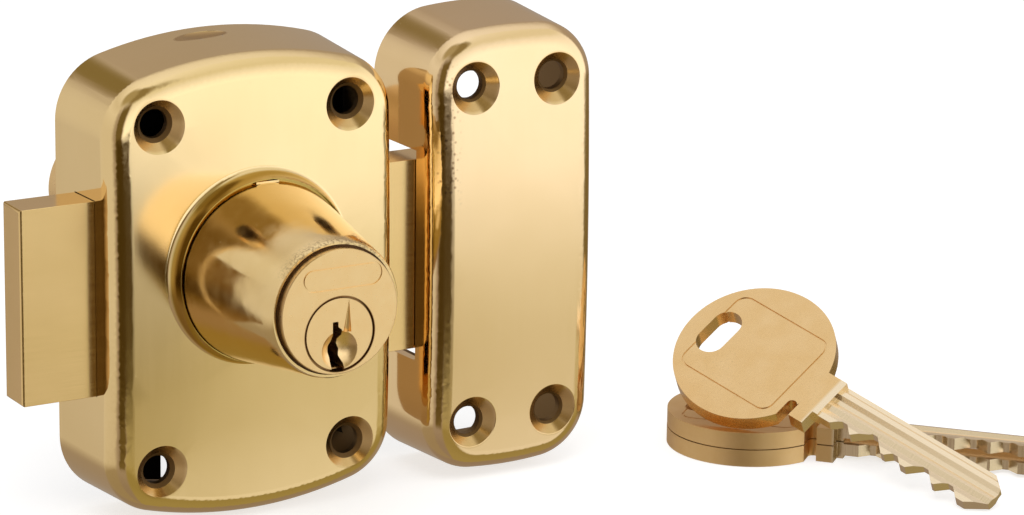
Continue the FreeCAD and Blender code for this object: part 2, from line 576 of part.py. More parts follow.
def cylinder_pieces(side, face_y, inward, rear_y, extra_cuts, extra_solids):
    """Body, plug, clip, pins, drivers, springs, caps and tailpiece of one cylinder."""
    step = int(inward)
    bore_top = PLUG_Z + " + plug_radius + plug_clearance"
    cap_low = "sqrt(cylinder_radius^2 - chamber_radius^2) - 0.1 - cap_length"
    driver_low = bore_top + " + 0.05"
    driver_high = driver_low + " + driver_length"

    def span(start, end, radius, label, z=PLUG_Z):
        """A rod between two Y values, whichever is the lower."""
        low, high = (start, end) if step > 0 else (end, start)
        return rod("%s_%s" % (side, label), radius, "(%s) - (%s)" % (high, low), ("0", low, z))

    body_rod = turned(side + "_body_rod", (
        ("0", face_y),
        ("cylinder_radius - cylinder_edge", face_y),
        ("cylinder_radius", "%s + %d*cylinder_edge" % (face_y, step)),
        ("cylinder_radius", rear_y),
        ("0", rear_y),
    ))
    body = fuse(side + "_body_solid", [body_rod] + extra_solids) if extra_solids else body_rod
    bore = span("%s - %d" % (face_y, step), rear_y + " - %d*clip_recess_depth" % step,
                "plug_radius + plug_clearance", "plug_bore")
    recess = span(rear_y + " - %d*clip_recess_depth" % step, rear_y, "clip_recess_radius", "clip_recess")
    chambers = pin_row(side + "_chamber", face_y, inward, "chamber_radius",
                       PLUG_Z + " + plug_radius - 1", "cylinder_radius + 1")
    body_parts = [bore, recess] + chambers + extra_cuts
    outline = cut(side + "_outline", stadium_plate(side + "_outline_outer", 0, face_y, step),
                  [stadium_plate(side + "_outline_inner", size("line_width"), face_y, step)])
    cylinder_body = cut(side + "_cylinder_body", body, body_parts + [outline])

    plug_end = rear_y + " - %d*(clip_recess_depth + 0.05)" % step
    tail_end = rear_y + " - %d*0.2" % step
    clip_start = plug_end + " + %d*0.35" % step
    clip_end = clip_start + " + %d*clip_thickness" % step
    plug_face = "%s + %d*0.1" % (face_y, step)
    plug_rod = turned(side + "_plug_rod", (
        ("0", plug_face),
        ("plug_radius - plug_edge", plug_face),
        ("plug_radius - plug_edge", "%s + %d*plug_edge_length" % (plug_face, step)),
        ("plug_radius", "%s + %d*plug_edge_length" % (plug_face, step)),
        ("plug_radius", plug_end),
        ("0", plug_end),
    ), "0", PLUG_Z)
    tail = span(plug_end + " - %d*0.2" % step, tail_end, "tail_radius", "tail_rod")
    keyway = face_cut(side + "_keyway", [(str(step * x), z) for x, z in KEYWAY], face_y, step,
                      "%d*((%s) - (%s))" % (step, plug_end, face_y))
    streak = add("Part::Cone", side + "_streak", Radius1="streak_radius", Radius2="0",
                 Height="streak_length")
    streak.Placement = Placement(Vector(), Rotation(Vector(0, 1, 0), step * STREAK_LEAN))
    place(streak, "%d*streak_aside" % step, plug_face, PLUG_Z + " + streak_up")
    dish = add("Part::Sphere", side + "_dish", Radius="dish_radius")
    place(dish, "0", "%s - %d*dish_out" % (face_y, step), PLUG_Z + " - dish_down")
    clip_groove = cut(side + "_clip_groove",
                      span(clip_start + " - %d*0.02" % step, clip_end + " + %d*0.02" % step,
                           "tail_radius + 1", "groove_outer"),
                      [span(clip_start + " - %d*0.1" % step, clip_end + " + %d*0.1" % step,
                            "tail_radius - 0.6", "groove_inner")])
    slot_depth = "%d*1.6" % step
    slot_low, slot_high = (tail_end + " - " + slot_depth, tail_end) if step > 0 else \
        (tail_end, tail_end + " - " + slot_depth)
    slot = box(side + "_tail_slot", ("tailpiece_thickness", "1.6 + 0.5", "tailpiece_width"),
               ("-tailpiece_thickness/2", slot_low if step > 0 else slot_low + " - 0.5",
                PLUG_Z + " - tailpiece_width/2"))
    pin_holes = pin_row(side + "_pin_hole", face_y, inward, "chamber_radius",
                        PLUG_Z + " + keyway_top - 1", PLUG_Z + " + plug_radius + 1")
    plug_solid = fuse(side + "_plug_solid", [plug_rod, tail])
    plug = cut(side + "_plug", plug_solid, [keyway, streak, dish, clip_groove, slot] + pin_holes)
    clip_rod = span(clip_start, clip_end, "clip_radius", "clip_rod")
    clip_hole = span(clip_start + " - %d" % step, clip_end + " + %d" % step, "tail_radius - 0.6", "clip_hole")
    clip_mouth = box(side + "_clip_mouth", ("2*tail_radius - 1.6", "6", "clip_radius + 2"),
                     ("-tail_radius + 0.8", "%s - 3" % clip_start, PLUG_Z + " - clip_radius - 2"))
    clip = cut(side + "_plug_clip", clip_rod, [clip_hole, clip_mouth])
    pins = group(side + "_pins", pin_row(side + "_pin", face_y, inward, "pin_radius",
                                         PLUG_Z + " + keyway_top + 0.1",
                                         PLUG_Z + " + sqrt(plug_radius^2 - pin_radius^2) - 0.03"))
    drivers = group(side + "_drivers", pin_row(side + "_driver", face_y, inward, "pin_radius",
                                               driver_low, driver_high))
    springs = spring_row(side + "_driver_springs", face_y, inward, driver_high, cap_low)
    caps = group(side + "_chamber_caps", pin_row(side + "_cap", face_y, inward, "chamber_radius",
                                                 cap_low, cap_low + " + cap_length"))
    return [cylinder_body, plug, clip, pins, drivers, springs, caps], (slot_low, slot_high)


def face_cut(label, corners, face_y, step, depth):
    """A prism that cuts into the plug from in front of its face, its corners given from the plug axis."""
    proud = 2
    item = add("Part::Extrusion", label, LengthFwd="%s + %d" % (depth, proud))
    item.Base = polygon_sketch(label + "_profile", corners, SKETCH_TO_XZ,
                               ("0", "%s - %d*%d" % (face_y, step, proud), PLUG_Z))
    item.DirMode = "Custom"
    item.Dir = Vector(0, step, 0)
    item.Solid = True
    return item


def stadium_plate(label, inset, face_y, step):
    """A flat bar with round ends at the cylinder face, for the engraved outline above the plug."""
    half_height = size("stadium_half_height") - inset
    straight = size("stadium_half_length") - inset - half_height
    middle_z = size(PLUG_Z + " + plug_radius + stadium_up")
    proud, depth = 0.5, size("line_depth")
    low_y = size(face_y) - (proud if step > 0 else depth)
    middle_x = step * size("stadium_aside")
    bar = Part.makeBox(2 * straight, depth + proud, 2 * half_height,
                       Vector(middle_x - straight, low_y, middle_z - half_height))
    ends = [Part.makeCylinder(half_height, depth + proud, Vector(middle_x + x, low_y, middle_z),
                              Vector(0, 1, 0)) for x in (-straight, straight)]
    return fixed_shape(label, bar.fuse(ends).removeSplitter())


INNER_FACE = FRONT_INNER + " - inner_cylinder_length"
flange = rod("inner_flange", "flange_radius", "flange_thickness", ("0", FRONT_INNER, "0"))
flange_bore = rod("inner_flange_bore", "front_journal_radius + plug_clearance", "flange_thickness + 1",
                  ("0", FRONT_INNER + " - 0.5", PLUG_Z))
ring_groove = cut("ring_groove", rod("ring_groove_outer", "cylinder_radius + 2", "ring_thickness + 0.04",
                                     ("0", NOSE + " + ring_behind - 0.02", "0")),
                  [rod("ring_groove_inner", "cylinder_radius - 0.5", "ring_thickness + 2",
                       ("0", NOSE + " - 0.2", "0"))])
flange_holes = [rod("flange_hole_%d" % number, "machine_screw_radius", "flange_thickness + 1",
                    ("%d*flange_screw_circle*cos(45)" % side, FRONT_INNER + " - 0.5",
                     "flange_screw_circle*sin(45)")) for number, side in enumerate((-1, 1))]
inner_pieces, inner_slot = cylinder_pieces("inner", INNER_FACE, "1", FRONT_INNER,
                                           flange_holes + [flange_bore, ring_groove], [flange])
flange_screws = []
for number, side in enumerate((-1, 1), 1):
    at = ("%d*flange_screw_circle*cos(45)" % side, "flange_screw_circle*sin(45)")
    thread_start = FRONT_INNER + " - flange_screw_length + 0.1"
    flange_screws.append(fuse("inner_cylinder_screw_%d" % number, [
        rod("flange_screw_thread_%d" % number, "machine_screw_radius",
            "flange_screw_length + flange_thickness - 0.1", (at[0], thread_start, at[1])),
        rod("flange_screw_head_%d" % number, "screw_head_radius", "screw_head_height",
            (at[0], FRONT_INNER + " + flange_thickness", at[1])),
    ]))
inner_cylinder_screws = group("inner_cylinder_screws", flange_screws)

OUTER_REAR = "-plate_inset"
outer_taps = [rod("outer_tap_%d" % number, "cylinder_screw_radius", "cylinder_screw_length + 1",
                  ("%d*cylinder_screws_across/2" % side, OUTER_REAR + " - 0.5", "cylinder_screws_up"))
              for number, side in enumerate((-1, 1))]
outer_pieces, outer_slot = cylinder_pieces("outer", "outer_cylinder_reach", "-1", OUTER_REAR, outer_taps, [])
long_screws = []
for number, side in enumerate((-1, 1), 1):
    at_x = "%d*cylinder_screws_across/2" % side
    long_screws.append(fuse("outer_cylinder_screw_%d" % number, [
        rod("long_thread_%d" % number, "cylinder_screw_radius", "cylinder_screw_length + plate_thickness",
            (at_x, PLATE_FRONT, "cylinder_screws_up")),
        rod("long_head_%d" % number, "cylinder_screw_head", "screw_head_height",
            (at_x, PLATE_FRONT + " - screw_head_height", "cylinder_screws_up")),
    ]))
outer_cylinder_screws = group("outer_cylinder_screws", long_screws)

# Drive: a pinion with a disc for the inside tailpiece, and a coupling for the outside one

DISC_FRONT = "-(bolt_front + disc_gap + disc_thickness)"
DISC_REAR = "-(bolt_front + disc_gap)"
COUPLING_FRONT = BOLT_REAR + " + disc_gap"
COUPLING_REAR = COUPLING_FRONT + " + disc_thickness"
JOURNAL_END = PLATE_FRONT + " + plate_thickness - 0.4"


def tooth_profile():
    """The pinion's outline: involute flanks, worked out from module, teeth and pressure angle."""
    teeth = int(size("pinion_teeth"))
    module, angle = size("rack_module"), math.radians(size("pressure_angle"))
    pitch = module * teeth / 2
    base, tip = pitch * math.cos(angle), pitch + size("tooth_reach") * module
    root = pitch - size("tooth_reach") * module - 0.12
    half = math.pi / (2 * teeth) - size("tooth_play") / pitch + math.tan(angle) - angle
    start = max(base, root)
    points = []
    for number in range(teeth):
        middle = 2 * math.pi * number / teeth + math.pi / 2
        flank = []
        for part in range(5):
            radius = start + (tip - start) * part / 4
            roll = math.acos(min(1.0, base / radius))
            flank.append((radius, half - (math.tan(roll) - roll)))
        low = (root, flank[0][1])
        for radius, offset in [low] + flank:
            points.append(Vector(radius * math.cos(middle - offset), 0, radius * math.sin(middle - offset)))
        for radius, offset in reversed([low] + flank):
            points.append(Vector(radius * math.cos(middle + offset), 0, radius * math.sin(middle + offset)))
    return Part.Face(Part.makePolygon(points + points[:1]))


def rack_profile():
    """Rack teeth that hang from the top of the bolt's window, as one outline."""
    module, angle = size("rack_module"), math.radians(size("pressure_angle"))
    pitch = math.pi * module
    reach = size("tooth_reach") * module
    tip, foot = size(PITCH_RADIUS) - reach, size(PITCH_RADIUS) + reach + 0.12
    count = int((size(THROW) + 2 * size(PITCH_RADIUS)) / pitch)
    quarter = pitch / 4 - size("tooth_play")
    points = [Vector(-(count + 0.9) * pitch, 0, foot + 1)]
    for number in range(-count, count):
        middle = (number + 0.5) * pitch
        for side, level in ((-1, foot), (-1, tip), (1, tip), (1, foot)):
            width = quarter + (level - size(PITCH_RADIUS)) * math.tan(angle)
            points.append(Vector(middle + side * width, 0, level))
    points.append(Vector((count + 0.9) * pitch, 0, foot + 1))
    return Part.Face(Part.makePolygon(points + points[:1]))


pinion_toothed = fixed_shape("pinion_toothed", tooth_profile().extrude(
    Vector(0, size("(%s) - (%s)" % (COUPLING_FRONT, DISC_REAR)), 0)))
place(pinion_toothed, "0", DISC_REAR, PLUG_Z)
front_disc = rod("front_disc", "disc_radius", "disc_thickness", ("0", DISC_FRONT, PLUG_Z))
front_journal = rod("front_journal", "front_journal_radius", "(%s) - (%s) - 0.6" % (DISC_FRONT, FRONT_INNER),
                    ("0", FRONT_INNER + " + 0.6", PLUG_Z))
square_end = box("square_end", ("square_size", "disc_thickness - 0.6", "square_size"),
                 ("-square_size/2", COUPLING_FRONT, PLUG_Z + " - square_size/2"))
front_slot = box("front_slot", ("tailpiece_thickness + 2*tailpiece_play", "(%s) - (%s) - 0.6 + 0.9"
                                % (DISC_FRONT, FRONT_INNER), "tailpiece_width + 2*tailpiece_play"),
                 ("-tailpiece_thickness/2 - tailpiece_play", FRONT_INNER + " + 0.5",
                  PLUG_Z + " - tailpiece_width/2 - tailpiece_play"))
pinion_whole = fuse("pinion_whole", [pinion_toothed, front_disc, front_journal, square_end])
drive_pinion = cut("drive_pinion", pinion_whole, [front_slot])
coupling_solid = fuse("coupling_solid", [
    rod("coupling_disc", "disc_radius", "disc_thickness", ("0", COUPLING_FRONT, PLUG_Z)),
    rod("coupling_journal", "rear_journal_radius", "(%s) - (%s)" % (JOURNAL_END, COUPLING_REAR),
        ("0", COUPLING_REAR, PLUG_Z)),
])
coupling_square = box("coupling_square", ("square_size", "disc_thickness - 0.6", "square_size"),
                      ("-square_size/2", COUPLING_FRONT, PLUG_Z + " - square_size/2"))
rear_slot = box("rear_slot", ("tailpiece_thickness + 2*tailpiece_play", "(%s) - (%s) + 0.9"
                              % (JOURNAL_END, COUPLING_REAR), "tailpiece_width + 2*tailpiece_play"),
                ("-tailpiece_thickness/2 - tailpiece_play", COUPLING_REAR + " - 0.4",
                 PLUG_Z + " - tailpiece_width/2 - tailpiece_play"))
drive_coupling = cut("drive_coupling", coupling_solid, [coupling_square, rear_slot])


def tailpiece(label, low, high):
    return box(label, ("tailpiece_thickness", "(%s) - (%s)" % (high, low), "tailpiece_width"),
               ("-tailpiece_thickness/2", low, PLUG_Z + " - tailpiece_width/2"))


inner_tailpiece = tailpiece("inner_tailpiece", inner_slot[0], DISC_FRONT + " + 0.2")
outer_tailpiece = tailpiece("outer_tailpiece", COUPLING_REAR + " - 0.2", outer_slot[1])

# Bolt: a brass bar with a window, a rack along the window's top and a blind slot for the stop pin

bolt_bar = box("bolt_bar", ("bolt_length", "bolt_thickness", "bolt_height"),
               ("-bolt_length/2", "-bolt_front", PLUG_Z + " - bolt_height/2"))
WINDOW_TOP = PITCH_RADIUS + " + tooth_reach*rack_module + 0.12"
WINDOW_HALF = THROW + " + " + PITCH_RADIUS + " + rack_module + 0.6"
bolt_window = box("bolt_window", ("2*(%s)" % WINDOW_HALF, "bolt_thickness + 2",
                                  "%s + %s + rack_module + 0.3" % (WINDOW_TOP, PITCH_RADIUS)),
                  ("-(%s)" % WINDOW_HALF, "-bolt_front - 1",
                   PLUG_Z + " - (%s + rack_module + 0.3)" % PITCH_RADIUS))
STOP_LENGTH = THROW + " + stop_pin_radius + 0.1"
stop_slot = box("stop_slot", ("2*(%s)" % STOP_LENGTH, "stop_pin_reach + 1.4", "2*stop_pin_radius + 0.2"),
                ("-(%s)" % STOP_LENGTH, BOLT_REAR + " - stop_pin_reach - 0.4",
                 PLUG_Z + " + stop_pin_up - stop_pin_radius - 0.1"))
rack_teeth = fixed_shape("rack_teeth", rack_profile().extrude(Vector(0, size("bolt_thickness"), 0)))
place(rack_teeth, "0", "-bolt_front", PLUG_Z)
bolt_open = cut("bolt_open", bolt_bar, [bolt_window, stop_slot])
bolt_racked = fuse("bolt_racked", [bolt_open, common("rack_inside", rack_teeth, box(
    "rack_limit", ("2*(%s) + 0.4" % WINDOW_HALF, "bolt_thickness", "10"),
    ("-(%s) - 0.2" % WINDOW_HALF, "-bolt_front", PLUG_Z)))])


def bolt_end(edge):
    return abs(abs(edge.BoundBox.Center.x) - size("bolt_length/2")) < 0.01 and edge.BoundBox.XLength < 0.01


bolt = round_edges("bolt", bolt_racked, size("bolt_edge"), bolt_end)

# Back plate and what it carries

PLATE_WIDTH = "case_width - 2*side_wall - 2*plate_gap_across"
PLATE_HEIGHT = "case_height - 2*side_wall - 2*plate_gap_upright"
RIVET_X = "-spring_strip_length/2 + rivet_inset"
plate_outline = arched_outline("plate_outline", size(PLATE_WIDTH), size(PLATE_HEIGHT),
                               size("case_corner - side_wall"), size("arch_radius"), 0, 0)
plate_blank = extrude("plate_blank", plate_outline, "plate_thickness")
place(plate_blank, "0", "-plate_inset", "0")
plate_cuts = [
    box("plate_notch_cut", ("plate_notch", "plate_thickness + 2", "12"),
        ("-plate_notch/2", PLATE_FRONT + " - 1", PLUG_Z + " - (%s)/2 - 2" % PLATE_HEIGHT)),
    rod("plate_bearing", "rear_journal_radius + plug_clearance", "plate_thickness + 2",
        ("0", PLATE_FRONT + " - 1", PLUG_Z)),
    rod("stop_pin_hole", "stop_pin_radius", "plate_thickness + 2",
        ("0", PLATE_FRONT + " - 1", PLUG_Z + " + stop_pin_up")),
    rod("spring_rivet_hole", "rivet_radius", "plate_thickness + 2",
        (RIVET_X, PLATE_FRONT + " - 1", PLUG_Z + " - spring_strip_down")),
]
for number, (x, z) in enumerate(hole_places("case_holes_across"), 1):
    plate_cuts.append(rod("plate_way_%d" % number, "plate_hole_radius", "plate_thickness + 2",
                          (x, PLATE_FRONT + " - 1", "%s + %s" % (PLUG_Z, z))))
for number, side in enumerate((-1, 1), 1):
    plate_cuts.append(rod("plate_long_%d" % number, "cylinder_screw_radius", "plate_thickness + 2",
                          ("%d*cylinder_screws_across/2" % side, PLATE_FRONT + " - 1", "cylinder_screws_up")))
plate_screw_list = []
for sx in (-1, 1):
    for sz in (-1, 1):
        tag = "%s%s" % ("left" if sx < 0 else "right", "_lower" if sz < 0 else "_upper")
        at = ("%d*post_across/2" % sx, "%s + %d*post_upright/2" % (PLUG_Z, sz))
        plate_cuts.append(rod("plate_hole_" + tag, "machine_screw_radius", "plate_thickness + 2",
                              (at[0], PLATE_FRONT + " - 1", at[1])))
        plate_screw_list.append(fuse("plate_screw_" + tag, [
            rod("plate_thread_" + tag, "machine_screw_radius", "plate_screw_length - 0.2",
                (at[0], "-plate_inset - plate_screw_length + 0.2", at[1])),
            rod("plate_head_" + tag, "screw_head_radius", "screw_head_height",
                (at[0], "-plate_inset", at[1])),
        ]))
back_plate = cut("back_plate", plate_blank, plate_cuts)
back_plate_screws = group("back_plate_screws", plate_screw_list)


def guide_strip(label, side):
    """An angle strip beside the bolt: a foot on the plate and a lip along the bolt's edge."""
    near = "bolt_height/2 + bolt_clearance"
    lip_low = near if side > 0 else "-(%s) - guide_thickness" % near
    foot_low = near if side > 0 else "-(%s) - guide_foot" % near
    return fuse(label, [
        box(label + "_lip", ("guide_length", "guide_reach", "guide_thickness"),
            ("-guide_length/2", PLATE_FRONT + " - guide_reach", "%s + %s" % (PLUG_Z, lip_low))),
        box(label + "_foot", ("guide_length", "guide_thickness", "guide_foot"),
            ("-guide_length/2", PLATE_FRONT + " - guide_thickness", "%s + %s" % (PLUG_Z, foot_low))),
    ])


upper_guide = guide_strip("upper_guide", 1)
lower_guide = guide_strip("lower_guide", -1)
stop_pin = rod("stop_pin", "stop_pin_radius", "plate_thickness + (%s) - (%s) + stop_pin_reach"
               % (PLATE_FRONT, BOLT_REAR), ("0", BOLT_REAR + " - stop_pin_reach", PLUG_Z + " + stop_pin_up"))
LEAF_TOP = BOLT_REAR + " + 0.15"
leaf_sketch = polygon_sketch("leaf_profile", (
    ("-spring_strip_length/2", PLATE_FRONT),
    ("-spring_strip_length/2", PLATE_FRONT + " - spring_strip"),
    ("-spring_strip_length/2 + spring_foot", PLATE_FRONT + " - spring_strip"),
    ("-spring_crest/2", LEAF_TOP),
    ("spring_crest/2", LEAF_TOP),
    ("spring_strip_length/2 - 2", PLATE_FRONT + " - spring_strip - 0.2"),
    ("spring_strip_length/2", PLATE_FRONT + " - spring_strip"),
    ("spring_strip_length/2", PLATE_FRONT),
    ("spring_strip_length/2 - 2", PLATE_FRONT + " - 0.2"),
    ("spring_crest/2", LEAF_TOP + " + spring_strip"),
    ("-spring_crest/2", LEAF_TOP + " + spring_strip"),
    ("-spring_strip_length/2 + spring_foot", PLATE_FRONT),
), Rotation(), ("0", "0", PLUG_Z + " - spring_strip_down - spring_strip_width/2"))
leaf_strip = add("Part::Extrusion", "leaf_strip", LengthFwd="spring_strip_width")
leaf_strip.Base = leaf_sketch
leaf_strip.DirMode = "Custom"
leaf_strip.Dir = Vector(0, 0, 1)
leaf_strip.Solid = True
friction_spring = cut("friction_spring", leaf_strip, [
    rod("leaf_hole", "rivet_radius", "6", (RIVET_X, PLATE_FRONT + " - 3", PLUG_Z + " - spring_strip_down"))])
spring_rivet = fuse("spring_rivet", [
    rod("rivet_shank", "rivet_radius", "plate_thickness + spring_strip",
        (RIVET_X, PLATE_FRONT + " - spring_strip", PLUG_Z + " - spring_strip_down")),
    rod("rivet_head", "rivet_radius + rivet_head_rim", "rivet_head_height",
        (RIVET_X, PLATE_FRONT + " - spring_strip - rivet_head_height", PLUG_Z + " - spring_strip_down")),
])

# Keys. Each lies in its own frame: X from the bow to the tip, Y across the blade, Z through it.

CUT_DEPTHS = (1.7, 2.9, 1.2, 2.4, 1.9)


def slab(corners, thick):
    """A plate through the key's full thickness, from its corners in the key's X and Y."""
    points = [Vector(x, y, -thick) for x, y in corners]
    return Part.Face(Part.makePolygon(points + points[:1])).extrude(Vector(0, 0, 2 * thick))


def key(label, placement):
    """A key: round bow with a ring slot and an engraved lozenge, shoulder, warded and cut blade."""
    thick, play = size("key_thickness"), size("key_play")
    rim, tip = size("bow_radius"), size("key_reach")
    middle = size("(keyway_top - plug_radius)/2")
    half_blade = size("(keyway_top + plug_radius)/2") - play
    centre = (min(x for x, _ in KEYWAY) + max(x for x, _ in KEYWAY)) / 2
    blade_start = rim - 2
    section = []
    for x, text in KEYWAY:
        level = max(-half_blade, min(half_blade, size(text) - middle))
        section.append(Vector(blade_start, level, x - centre - math.copysign(play, x - centre)))
    blade = Part.Face(Part.makePolygon(section + section[:1])).extrude(Vector(tip - blade_start, 0, 0))
    bow = Part.makeCylinder(rim, thick, Vector(0, 0, -thick / 2))
    neck = Part.makeBox(size("neck_length"), 2 * half_blade, thick, Vector(rim - 3, -half_blade, -thick / 2))
    rise = size("shoulder_rise")
    shoulder_x = size("shoulder_start")
    shoulder = Part.makeBox(size("shoulder_width"), rise + 1, thick,
                            Vector(shoulder_x, -half_blade - rise, -thick / 2))
    relief, floor = size("relief_width"), -half_blade - size("relief_rise")
    notch = Part.makeBox(rim, rim, 2 * thick, Vector(shoulder_x - relief, floor - rim, -thick))
    whole = bow.cut(notch).fuse([neck, shoulder, blade])
    cuts = [Part.makeCylinder(relief / 2, 2 * thick, Vector(shoulder_x - relief / 2, floor, -thick))]

    slot_round = size("ring_slot_width/2")
    slot_x = -rim + size("ring_slot_rim") + slot_round
    straight = size("ring_slot_length/2") - slot_round
    cuts.append(Part.makeBox(2 * slot_round, 2 * straight, 2 * thick,
                             Vector(slot_x - slot_round, -straight, -thick)))
    for y in (-straight, straight):
        cuts.append(Part.makeCylinder(slot_round, 2 * thick, Vector(slot_x, y, -thick)))
    half_flat = size("cut_flat/2")
    for number, depth in enumerate(CUT_DEPTHS):
        at = rim + size("first_cut") + number * size("cut_pitch")
        half_mouth = half_flat + (depth + 1) * size("cut_slope")
        cuts.append(slab(((at - half_mouth, -half_blade - 1), (at - half_flat, -half_blade + depth),
                          (at + half_flat, -half_blade + depth), (at + half_mouth, -half_blade - 1)), thick))
    slope = tip - size("tip_top")
    cuts.append(slab(((slope, half_blade + 1), (tip + 1, half_blade + 1),
                      (tip + 1, half_blade - size("tip_drop"))), thick))
    cuts.append(slab(((slope - 1, -half_blade - 1), (tip, -half_blade + size("tip_rise")),
                      (tip + 1, -half_blade - 1)), thick))
    depth = size("line_depth")
    for level in (-thick / 2, thick / 2 - depth):
        cuts.append(panel_plate(0, depth, level).cut(panel_plate(size("line_width"), depth, level)))
    item = fixed_shape(label, whole.cut(cuts).removeSplitter())
    item.Placement = placement
    return item


def panel_plate(inset, depth, level):
    """A plate with round corners, for the outline engraved on a bow."""
    length, width = size("panel_length") - 2 * inset, size("panel_width") - 2 * inset
    plate = Part.makeBox(length, width, depth, Vector(-length / 2, -width / 2, level))
    return plate.makeFillet(size("panel_corner") - inset,
                            [edge for edge in plate.Edges if edge.BoundBox.ZLength > depth / 2])


FLOOR = size("%s - case_height/2" % PLUG_Z)


def key_turn(along, normal):
    """The rotation that lays a key's X along one direction and its Z along another."""
    return Rotation(Vector(*along), Vector(), Vector(*normal), "XZY")


flat_turn = Rotation(Vector(0, 0, 1), -47.0)
lean_turn = key_turn((0.3109, -0.9154, -0.2557), (-0.4506, -0.3788, 0.8084))
lower_z = FLOOR + size("key_thickness/2")
lower_place = Vector(size("keys_x"), size("keys_y"), lower_z)
upper_place = lower_place + Vector(0.1, 0.1, size("key_thickness + stack_gap"))
lean_place = Vector(size("lean_x"), size("lean_y"), FLOOR + size("lean_up"))
lower_key = key("lower_key", Placement(lower_place, flat_turn))
upper_key = key("upper_key", Placement(upper_place, flat_turn))
leaning_key = key("leaning_key", Placement(lean_place, lean_turn))

nodes = [case_shell, keeper_shell, cylinder_cover, cover_ring, inner_cylinder_screws, outer_cylinder_screws,
         drive_pinion, drive_coupling, inner_tailpiece, outer_tailpiece, bolt, back_plate, back_plate_screws,
         upper_guide, lower_guide, stop_pin, friction_spring, spring_rivet, lower_key, upper_key, leaning_key]
nodes += inner_pieces + outer_pieces

doc.recompute()
for item in doc.Objects:
    if "Invalid" in item.State or "Error" in item.State:
        raise RuntimeError("object failed: %s %s" % (item.Label, item.State))
os.makedirs("parts", exist_ok=True)
for item in nodes:
    shape = item.Shape
    if shape.isNull() or not shape.isValid() or not shape.Solids:
        raise RuntimeError("bad shape: " + item.Label)
    shape.exportStep(os.path.join("parts", item.Label + ".step"))
    print("%-24s solids %d volume %.1f" % (item.Label, len(shape.Solids), shape.Volume))
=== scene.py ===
"""Looks of a double cylinder deadbolt: a polished brass rim lock with its keeper and keys.

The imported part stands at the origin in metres. X runs along the throw of the bolt towards the
keeper, Y from the room into the door, Z up. The lock stands on its edge on a pale table.
"""

import json
import math

import bmesh
import bpy
from mathutils import Matrix, Vector

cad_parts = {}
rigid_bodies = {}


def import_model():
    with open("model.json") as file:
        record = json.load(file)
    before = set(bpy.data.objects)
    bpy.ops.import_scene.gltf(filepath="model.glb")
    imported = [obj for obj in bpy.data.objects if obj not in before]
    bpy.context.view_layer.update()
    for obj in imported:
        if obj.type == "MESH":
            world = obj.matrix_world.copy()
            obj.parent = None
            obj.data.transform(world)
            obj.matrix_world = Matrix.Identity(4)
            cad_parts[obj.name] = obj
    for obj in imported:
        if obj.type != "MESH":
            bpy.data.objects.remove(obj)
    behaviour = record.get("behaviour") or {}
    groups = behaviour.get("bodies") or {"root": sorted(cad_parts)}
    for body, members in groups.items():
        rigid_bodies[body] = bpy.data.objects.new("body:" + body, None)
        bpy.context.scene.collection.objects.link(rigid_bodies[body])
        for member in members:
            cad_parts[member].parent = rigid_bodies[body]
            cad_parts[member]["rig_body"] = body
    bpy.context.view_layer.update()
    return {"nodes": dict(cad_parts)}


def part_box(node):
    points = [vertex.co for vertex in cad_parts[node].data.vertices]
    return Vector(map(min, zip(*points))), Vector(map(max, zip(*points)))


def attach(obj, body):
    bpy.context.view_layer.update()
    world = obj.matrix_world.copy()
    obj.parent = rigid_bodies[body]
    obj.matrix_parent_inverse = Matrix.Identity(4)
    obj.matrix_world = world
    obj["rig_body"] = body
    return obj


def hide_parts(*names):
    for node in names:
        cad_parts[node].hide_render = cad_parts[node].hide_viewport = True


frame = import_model()
part = frame["nodes"]


# Case of the lock. A brass casting, hollow at the back, buffed to a mirror and lacquered. The
# buffing left long soft waves, hairlines and a few casting pits. It didn't reach into the
# countersinks. Painted shade darkens the corner round the collar and the inside of the casting.

def shader_for(name, colour, metallic, roughness):
    """A new material, its node tree and its one shader."""
    material = bpy.data.materials.new(name)
    material.use_nodes = True
    tree = material.node_tree
    shader = tree.nodes["Principled BSDF"]
    shader.inputs["Base Color"].default_value = (*colour, 1)
    shader.inputs["Metallic"].default_value = metallic
    shader.inputs["Roughness"].default_value = roughness
    return material, tree, shader


def noise(tree, scale, detail, stretch=(1, 1, 1), rough=0.5):
    """Noise in the part's own metres. A stretch below one draws it out along that axis."""
    place = tree.nodes.new("ShaderNodeTexCoord")
    mapping = tree.nodes.new("ShaderNodeMapping")
    mapping.inputs["Scale"].default_value = stretch
    cloud = tree.nodes.new("ShaderNodeTexNoise")
    cloud.inputs["Scale"].default_value = scale
    cloud.inputs["Detail"].default_value = detail
    cloud.inputs["Roughness"].default_value = rough
    tree.links.new(place.outputs["Object"], mapping.inputs["Vector"])
    tree.links.new(mapping.outputs["Vector"], cloud.inputs["Vector"])
    return cloud.outputs["Fac"]


def ramp(tree, value, stops):
    """A colour or a grey level that follows a value, through stops of (place, colour)."""
    band = tree.nodes.new("ShaderNodeValToRGB")
    while len(band.color_ramp.elements) < len(stops):
        band.color_ramp.elements.new(1)
    for element, (at, colour) in zip(band.color_ramp.elements, stops):
        element.position = at
        element.color = (*colour, 1) if isinstance(colour, tuple) else (colour, colour, colour, 1)
    tree.links.new(value, band.inputs["Fac"])
    return band.outputs["Color"]


